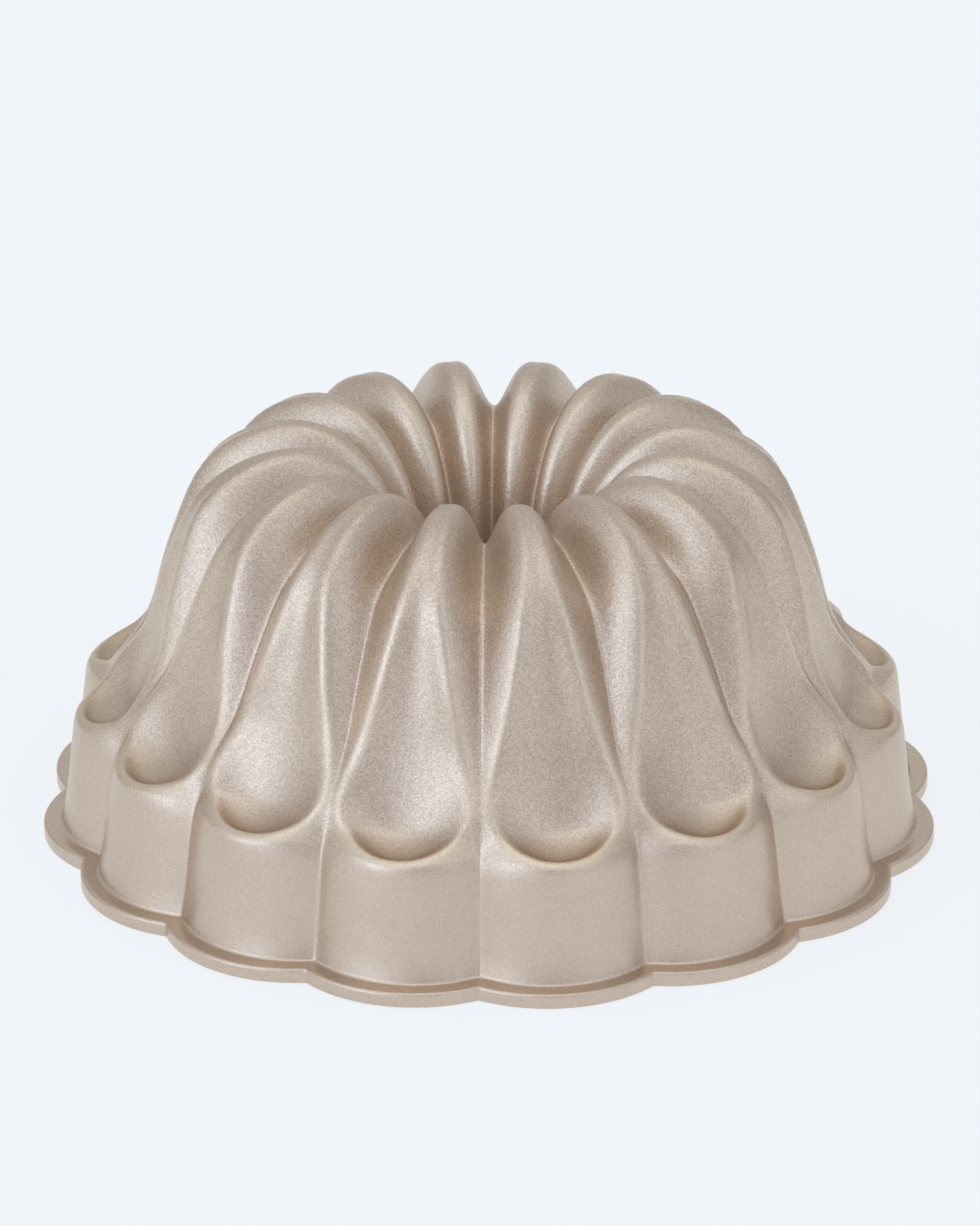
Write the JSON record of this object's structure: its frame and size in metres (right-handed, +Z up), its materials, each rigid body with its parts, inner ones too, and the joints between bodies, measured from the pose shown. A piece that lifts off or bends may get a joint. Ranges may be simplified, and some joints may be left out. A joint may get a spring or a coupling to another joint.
{
  "type": "kugelhopf mould",
  "caption": "Cast ring cake mould with rounded flutes, a teardrop hollow on each flute, a scalloped rim flange and an open centre tube, standing upside down on its rim in a champagne coat.",
  "frame": {"origin": "centre of the rim plane that the mould stands on, on the axis of the centre tube", "axes": "+Z up along the tube axis from the rim to the crown; -Y points to a groove between two flutes, the front of the picture"},
  "size_m": [0.2562, 0.2562, 0.1148],
  "materials": {
    "champagne_coat": "satin metallic champagne with a fine sparkle grain",
    "cast_aluminium": "as cast, bare only on the rim face",
    "nonstick_lining": "satin non-stick coat"
  },
  "bodies": {
    "root": {"outer_coat": "champagne_coat", "cast_body": "cast_aluminium", "inner_lining": "nonstick_lining"}
  },
  "joints": []
}
